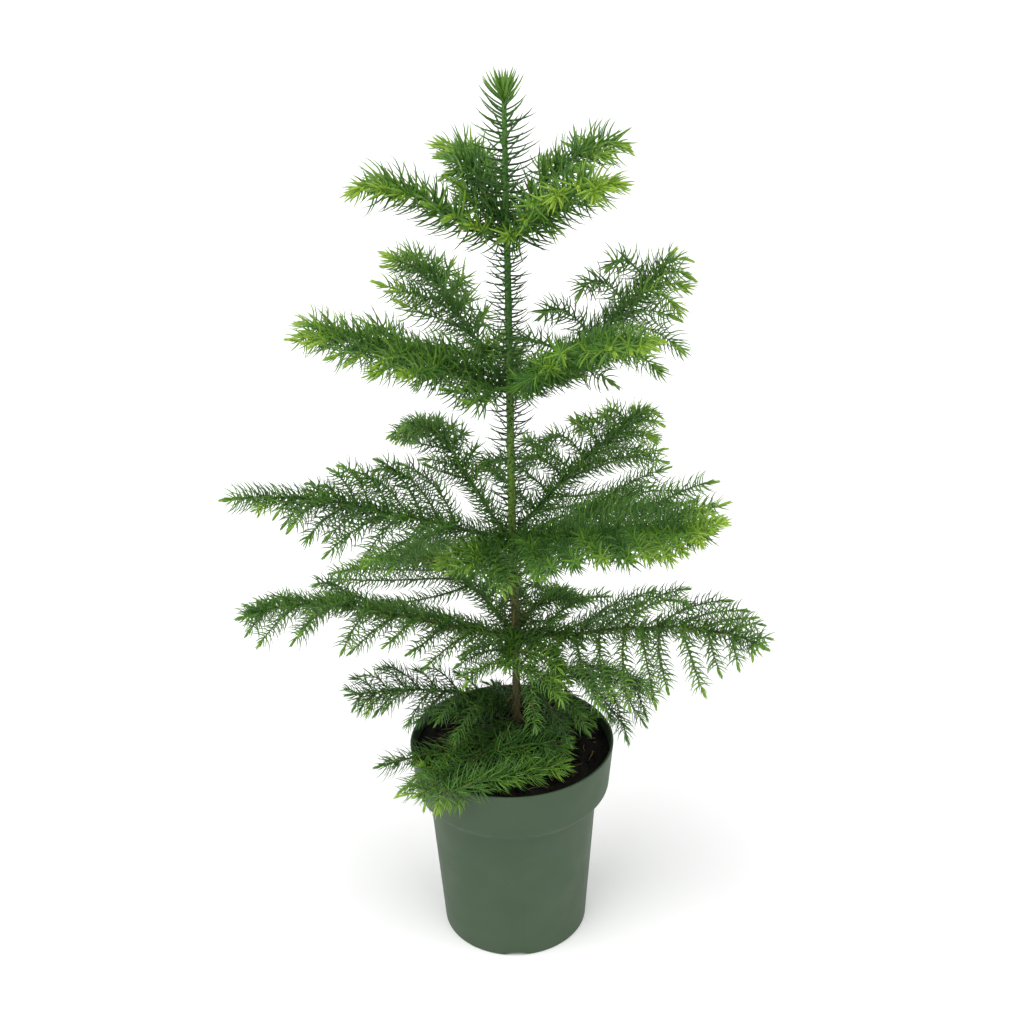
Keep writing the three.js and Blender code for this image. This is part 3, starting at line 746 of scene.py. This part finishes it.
def make_pot():
    height, wall, base, floor = POT.height, POT.wall, POT.base, POT.floor
    collar_height, step_height = height - POT.collar_depth, height - POT.step_depth
    lift, middle = POT.inner_lift, POT.near_axis
    profile = rounded([
        (middle, 0), (base, 0), (POT.shoulder, step_height), (POT.collar, collar_height),
        (POT.rim, height), (POT.rim - wall, height),
        (POT.collar - wall, collar_height + lift), (POT.shoulder - wall, step_height + lift),
        (base - wall, floor), (middle, floor),
    ], POT.rounding)
    pot = hand_over("pot_shell", *turned(profile, POT.sides), [pot_material()])
    depth, width = POT.notch_height, POT.notch_width
    radius = (width ** 2 / 4 + depth ** 2) / (2 * depth)
    cutters = []
    for i in range(POT.notches):
        out = direction(360 / POT.notches * i)
        centre = np.array([0, 0, depth - radius])
        run = [centre + out * (base + more) for more in POT.notch_run]
        cutters.append(tube(Line(run, radius, radius), sides=96, step=12))
    cutter = hand_over("pot_notches", *joined(cutters), [])
    cut = pot.modifiers.new("notches", "BOOLEAN")
    cut.object = cutter
    cut.solver = "EXACT"
    bpy.context.view_layer.update()
    finished = pot.evaluated_get(bpy.context.evaluated_depsgraph_get())
    result = bpy.data.meshes.new_from_object(finished)
    pot.modifiers.clear()
    pot.data = result
    bpy.data.objects.remove(cutter)
    pot.data.shade_smooth()
    pot.data.set_sharp_from_angle(angle=math.radians(38))
    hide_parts("pot")


make_pot()

# ---- Soil

LUMPS = ((26, 0.9), (11, 0.7), (5.5, 0.55), (2.8, 0.4))  # how wide and high the soil's lumps are
RIM_CLEARANCE = 1.2  # millimetres that needles keep from the pot's rim at its sides
REST_HEIGHT = 0.6  # millimetres that they keep over it and over the soil


def mouth_radius(height):
    along = (height - (POT.height - POT.collar_depth)) / POT.collar_depth
    return mix(POT.collar, POT.rim, along) - POT.wall


def soil_surface(part, angle):
    """A point on the soil from its edge at the pot's wall (0) to the pad round the trunk (1)."""
    back = (np.sin(angle) + 1) / 2
    edge_height = POT.height - mix(SOIL.front_depth, SOIL.back_depth, back)
    edge = polar(mouth_radius(edge_height) - SOIL.gap, angle, edge_height)
    flat = polar(SOIL.pad, angle, FOOT[2]) + FOOT * (1, 1, 0)
    mound = SOIL.shoulder_rise * np.sin(math.pi * np.clip(part, 0, 1)) ** 0.8
    return edge + (flat - edge) * part[..., None] + UP * mound[..., None]


def soil_lumps(points):
    """Uneven height of the soil: swells, clods and crumbs."""
    random = seeded("soil")
    x, y = points[..., 0], points[..., 1]
    total = np.zeros_like(x)
    for size, rise in LUMPS:
        for _ in range(5):
            heading = random.uniform(0, math.tau)
            total += rise * 0.45 * np.sin((x * math.cos(heading) + y * math.sin(heading))
                                          * 2 * math.pi / size + random.uniform(0, math.tau))
    return total


def calm_edges(part):
    """How much of its lumps the soil has: none at the pot's wall, few at the trunk."""
    return np.clip(np.minimum(part / 0.06, (1.08 - part) / 0.1), 0, 1)


def soil_height(points):
    """How high the soil lies under or over each point."""
    edge = mouth_radius(POT.height - (SOIL.front_depth + SOIL.back_depth) / 2)
    part = np.zeros(points.shape[:-1])
    for _ in range(8):
        out = points[..., :2] - FOOT[:2] * part[..., None]
        part = np.clip((edge - np.linalg.norm(out, axis=-1)) / (edge - SOIL.pad), 0, 1)
    smooth = soil_surface(part, np.arctan2(out[..., 1], out[..., 0]))[..., 2]
    return smooth + soil_lumps(points) * calm_edges(part)


def lifted(points):
    """The points, moved up where they would be in the soil or in the pot's rim: shoots and
    needles rest on them."""
    radius, level = np.hypot(points[..., 0], points[..., 1]), points[..., 2]
    if level.min() > POT.height + 2:
        return points
    outside = mouth_radius(level) + POT.wall
    over_soil = radius < outside - POT.wall - RIM_CLEARANCE
    over_rim = ~over_soil & (radius < outside + RIM_CLEARANCE)
    ground = np.where(over_soil, soil_height(points), np.where(over_rim, POT.height, -np.inf))
    in_collar = level > POT.height - POT.collar_depth
    level = np.where(in_collar, np.maximum(level, ground + REST_HEIGHT), level)
    return np.concatenate([points[..., :2], level[..., None]], -1)


def make_soil():
    """The soil's uneven surface, and under it a flat bottom a little inside the pot's wall."""
    rings, angle = SOIL.rings, around(SOIL.sides)
    parts = np.linspace(0, 1, rings)
    grid = soil_surface(parts[:, None] * np.ones_like(angle), np.ones(rings)[:, None] * angle)
    grid[..., 2] += soil_lumps(grid) * calm_edges(parts)[:, None]
    under_trunk = grid[-1] * 0.4 + trunk_centre(FOOT[2]) * 0.6
    below = polar(POT.collar - POT.wall - 0.5, angle, POT.height - POT.collar_depth + 3)
    middle = below * (0.05, 0.05, 1.0)
    points = np.concatenate([[middle, below], grid, [under_trunk]]).reshape(-1, 3)
    soil = hand_over("peat_soil", points, rings_to_faces(rings + 3, len(angle)), [peat_material()])
    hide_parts("soil")


def on_soil(count, random, lift):
    """Random places, spread evenly over the soil."""
    part = 1 - np.sqrt(random.uniform(0.02, 0.72, count))
    return soil_surface(part, random.uniform(0, math.tau, count)) + UP * lift


def icosahedron():
    """The corners, each 1 from the middle, and the faces of the solid with twenty sides."""
    golden = (1 + 5 ** 0.5) / 2
    corners = []
    for a in (-1, 1):
        for b in (-golden, golden):
            corners += [(0, a, b), (a, b, 0), (b, 0, a)]
    corners = unit(np.array(corners, float))
    distances = np.linalg.norm(corners[:, None] - corners[None], axis=-1)
    edge = np.sort(distances[0])[1] * 1.05
    faces = []
    for i, j, k in combinations(range(len(corners)), 3):
        if max(distances[i, j], distances[j, k], distances[i, k]) < edge:
            turn = np.dot(np.cross(corners[j] - corners[i], corners[k] - corners[i]), corners[i])
            faces.append((i, j, k) if turn > 0 else (i, k, j))
    return corners, np.array(faces)


def make_crumbs(name, material, seed, count, sizes, squash, lift):
    """Small irregular lumps that lie on the soil."""
    random = seeded(seed)
    corners, faces = icosahedron()
    each = len(corners)
    places = on_soil(count, random, lift)
    size = random.uniform(*sizes, count)
    shape = corners[None] * random.uniform(0.65, 1.25, (count, each, 1))
    shape = shape * np.stack([np.ones(count), random.uniform(0.6, 1, count),
                              random.uniform(squash * 0.6, squash, count)], -1)[:, None, :]
    turn = random.uniform(0, math.tau, count)
    c, s = np.cos(turn)[:, None], np.sin(turn)[:, None]
    x, y = shape[..., 0] * c - shape[..., 1] * s, shape[..., 0] * s + shape[..., 1] * c
    shape = np.stack([x, y, shape[..., 2]], -1) * size[:, None, None]
    points = places[:, None, :] + shape
    piece = hand_over(name, points.reshape(-1, 3), [repeated(faces, count, each)], [material])


make_soil()
make_crumbs("peat_crumbs", peat_material(), "crumbs",
            count=900, sizes=(0.5, 1.7), squash=0.75, lift=0.3)
make_crumbs("bark_chips", litter_material("bark_chip", (44, 31, 22), (86, 62, 42)), "chips",
            count=80, sizes=(0.8, 2.4), squash=0.3, lift=0.5)
make_crumbs("perlite_specks", litter_material("perlite", (196, 192, 182), (232, 230, 224)),
            "specks", count=16, sizes=(0.35, 0.8), squash=0.8, lift=0.7)

# ---- Trunk

trunk_line = Line(trunk_centre(np.linspace(FOOT[2], TIP[2], 420)), 1, 1)
trunk_line.radius = lambda u: trunk_radius(FOOT[2] + u)
# Its bark is furrowed below `old_below`, fully so `ageing` millimetres further down.
BARK = Values(sides=30, step=0.9, old_below=281, ageing=40, furrow=0.26, foot=0.24, inset=0.05)


def make_trunk():
    """The trunk with its bark's relief: furrows below, the raised feet of needles above."""
    random = seeded("trunk")
    u = np.linspace(0, trunk_line.length, int(trunk_line.length / BARK.step))
    angle = around(BARK.sides)
    uu, vv = u[:, None], angle[None, :]
    height = FOOT[2] + uu
    old = np.clip((BARK.old_below - height) / BARK.ageing, 0, 1)
    furrows = (waves(uu, vv, random, count=9, u_scale=0.55, v_scale=9)
               + 0.5 * waves(uu, vv, random, count=7, u_scale=2.2, v_scale=4))
    feet = np.maximum(0, np.sin(5 * vv + uu * 1.15) * np.sin(8 * vv - uu * 0.72)) ** 0.7
    relief = BARK.furrow * old * furrows + (1 - old) * BARK.foot * feet
    calmer = np.clip((trunk_line.length - uu) / 30, 0.3, 1)
    radius = trunk_radius(height) + relief * calmer - BARK.inset
    skin = rings_round(trunk_line, u, angle, radius)
    trunk = hand_over("trunk_bark", *skin, [bark_material()])
    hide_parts("trunk")


make_trunk()

# ---- Boughs, side shoots and needles

def bough_line(bough, random):
    """A bough's middle line and the parts of its reach where that begins and ends."""
    end = 1 - LIMB.short * bough["usual_needle"] / bough["reach"]
    begin = 0
    if "root" not in bough:
        begin = trunk_radius(root_of(bough)[2]) * LIMB.inside / bough["reach"]
    s = np.linspace(begin, end, LIMB.points)
    wobble, swing = (
        waves(s * bough["reach"], 0 * s, random, 3, LIMB.sway_scale, 0)[:, None] for _ in "xy")
    _, left, up = bough_frame(bough, s)
    calm = np.minimum(1, s * LIMB.steady)[:, None]
    points = bough_point(bough, s) + (left * wobble + up * swing) * LIMB.sway * calm
    return Line(points, bough["limb"], LIMB.tip_radius), begin, end


def side_shoots(bough, line, begin, end, random):
    """Side shoots in loose pairs along a bough."""
    needle = bough["usual_needle"]
    shoots = []
    for side, longest in ((1, bough["left"]), (-1, bough["right"])):
        start, spacing = of_side(bough["start"], side), of_side(bough["spacing"], side)
        place = start * bough["reach"] + random.uniform(0, spacing * SHOOT.first)
        while place < bough["reach"] - needle * SHOOT.clear:
            s = place / bough["reach"]
            place += spacing * random.uniform(*SHOOT.apart) * mix(1, SHOOT.closer, s)
            reach = shoot_reach(bough, s, side, longest) * random.uniform(*SHOOT.uneven)
            reach -= needle * SHOOT.short
            if reach >= SHOOT.shortest:
                root = line.at((s - begin) / (end - begin) * line.length)
                shoots.append(side_shoot(bough, s, root, side, reach, random))
    return shoots


def side_shoot(bough, s, root, side, reach, random):
    """A side shoot that leaves wide, bends forward, rises and then hangs a little."""
    ahead, left, up = bough_frame(bough, np.array(s))
    t = np.linspace(0, 1, SHOOT.points)
    middle = (t[1:] + t[:-1]) / 2
    tilt = random.normal(0, SHOOT.stray) + of_side(bough["skew"], side)
    angle = np.radians(mix(*SHOOT.angle, middle ** SHOOT.bend) + tilt)
    steps = ahead * np.cos(angle)[:, None] + left * side * np.sin(angle)[:, None]
    points = np.concatenate([[root], root + np.cumsum(steps * reach / len(middle), 0)])
    droop = of_side(bough["droop"], side) + random.normal(0, SHOOT.stray_droop)
    fall = math.tan(math.radians(droop)) * t ** SHOOT.hang
    rise = math.tan(math.radians(random.normal(*bough["lift"]))) * t * (1 - t) * SHOOT.hump
    out = np.abs((points - root) @ left)
    points = points + UP * (out[-1] * (rise - fall))[:, None]
    sway = waves(t * 5, 0 * t, random, 2, 1, 0)[:, None] * t[:, None]
    points = lifted(points + (up + ahead * SHOOT.sway_ahead) * sway * reach * SHOOT.sway)
    thick = mix(*SHOOT.radius, min(1, reach / SHOOT.full_grown))
    return Line(points, thick, SHOOT.tip_radius, s)


def make_bough(name, bough):
    random = seeded(name)
    line, begin, end = bough_line(bough, random)
    skin = tube(line, LIMB.sides, LIMB.step, LIMB.relief, name + " skin")
    piece = hand_over("limb_" + name, *skin, [twig_materials[bough["kind"]]])
    if "root" not in bough:
        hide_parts("bough_" + name)
    shoots = side_shoots(bough, line, begin, end, random)
    needles = Needles()
    plain, needle, last = bough["plain"], bough["needle"], bough["needle_tip"]
    foot, tip = LIMB.longer
    look = {**bough, **BUD, "needle": needle * foot, "needle_end": last * tip}
    clothe(needles, line, LIMB.bare["root" in bough], bough["dense"], look, random, plain)
    for shoot in shoots:
        ending = BUD if random.random() < bough["buds"] else STAR
        length = min(1, SHOOT.least + shoot.length / SHOOT.long)
        length = mix(needle, last, shoot.station) * length
        look = {**bough, **ending, "needle": length, "needle_end": length,
                "fresh": bough["fresh"] * mix(*SHOOT.glow, shoot.station)}
        tone = plain + random.normal(0, SHOOT.stray_tone)
        clothe(needles, shoot, SHOOT.bare_foot, bough["sparse"], look, random, tone)
    piece = needles.hand_over("needles_" + name, needle_materials)
    if name not in UNSHARED:
        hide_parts("spray_" + name)
    return shoots


twigs = {}
for bough_name, bough_values in BOUGHS.items():
    whole = filled(bough_name, bough_values)
    twigs.setdefault(whole["kind"], []).extend(make_bough(bough_name, whole))
for key, lines in twigs.items():
    skins = [tube(line, SHOOT.sides, SHOOT.step, SHOOT.relief, f"{key} {i}")
             for i, line in enumerate(lines)]
    twig_piece = hand_over(f"side_shoots_{key}", *joined(skins), [twig_materials[key]])

# ---- Needles on trunk and leader

LEADER = dict(
    needle=20.5, needle_end=20.5, width=1.5, lean=90, curl=50, tip_lean=32, tip_curl=8,
    tip_length=0.5, brush=12.5, sharp=1, stubby=2.2, crowd=2.4, fresh=2.2, young=16, twist=0.04,
    unruly=3,
)
FALLEN = 50  # dry needles on the soil


def dress_trunk():
    """Needles on the leader's brush and on the stretches of stem between the tiers."""
    random = seeded("trunk needles")
    w1, w2, w3, w4 = (KINDS[tier]["height"] - FOOT[2] for tier in TIERS)
    leader = Needles()
    clothe(leader, trunk_line, w1 + 5, 1.45, LEADER, random, 2.0)
    piece = leader.hand_over("needles_leader", needle_materials)
    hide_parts("spray_leader")
    stem = Needles()
    for begin, end, density, needle, width, tone in (
        (w2 + 5, w1 + 5, 1.9, 15.5, 1.2, 1.9),
        (w3 + 5, w2 + 5, 1.8, 16.5, 1.1, 1.9),
        (w4 - 6, w3 + 5, 2.0, 14.5, 0.95, 1.7),
    ):
        u = spaced(begin, end, density, random)
        count = len(u)
        stem.grow(trunk_line, u, random, needle * random.uniform(0.75, 1.05, count),
                  width * random.uniform(*UNEVEN_WIDTH, count), random.normal(88, 7, count),
                  random.normal(50, 10, count), tone + random.normal(0, UNEVEN_TONE, count), 0.1)
    stem.hand_over("needles_stem", needle_materials)


dress_trunk()


def make_dry_needles():
    """Brown needles that hang on at the trunk's foot and lie on the soil."""
    random = seeded("dry needles")
    dry = Needles()
    u = spaced(11, KINDS["4"]["height"] + 30 - FOOT[2], 0.95, random)
    count = len(u)
    dry.grow(trunk_line, u, random, random.uniform(8, 17, count), random.uniform(0.5, 0.8, count),
             random.normal(94, 14, count), random.normal(128, 24, count), np.zeros(count), 0.3)
    for place in on_soil(FALLEN, random, 0.9):
        heading = direction(random.uniform(0, 360)) + UP * random.normal(0, 0.08)
        line = Line([place, place + heading * 2], 0.05, 0.05)
        dry.grow(line, np.array([0.2]), random, random.uniform(6, 12, 1),
                 random.uniform(0.5, 0.8, 1), np.array([4.0]), random.normal(0, 26, 1), np.zeros(1),
                 0.1)
    dry.hand_over("needles_dry", [dry_material])


make_dry_needles()

# ---- Floor and light

def make_floor():
    mesh = bpy.data.meshes.new("studio_floor")
    half = 12.0  # metres
    mesh.from_pydata([(-half, -half, 0), (half, -half, 0), (half, half, 0), (-half, half, 0)], [],
                     [(0, 1, 2, 3)])
    mesh.materials.append(floor_material())
    floor = placed("studio_floor", mesh)


def soft_sun(name, place, power, spread):
    """Even light from far off, as from a wide screen at `place`."""
    data = bpy.data.lights.new(name, "SUN")
    data.energy = power
    data.angle = math.radians(spread)
    light = placed(name, data)
    light.location = place
    light.rotation_euler = Vector(place).to_track_quat("Z", "Y").to_euler()


make_floor()
soft_sun("left_screen", (-1.7, -0.9, 1.9), 2.05, 70)
soft_sun("right_screen", (1.7, -0.8, 1.9), 1.45, 70)
soft_sun("top_screen", (0.0, -0.4, 2.6), 0.9, 80)

world = bpy.data.worlds.new("white_studio")
world.use_nodes = True
background = world.node_tree.nodes["Background"]
background.inputs["Color"].default_value = (1.0, 1.0, 1.0, 1.0)
background.inputs["Strength"].default_value = 0.32
bpy.context.scene.world = world
bpy.context.scene.view_settings.view_transform = "Standard"
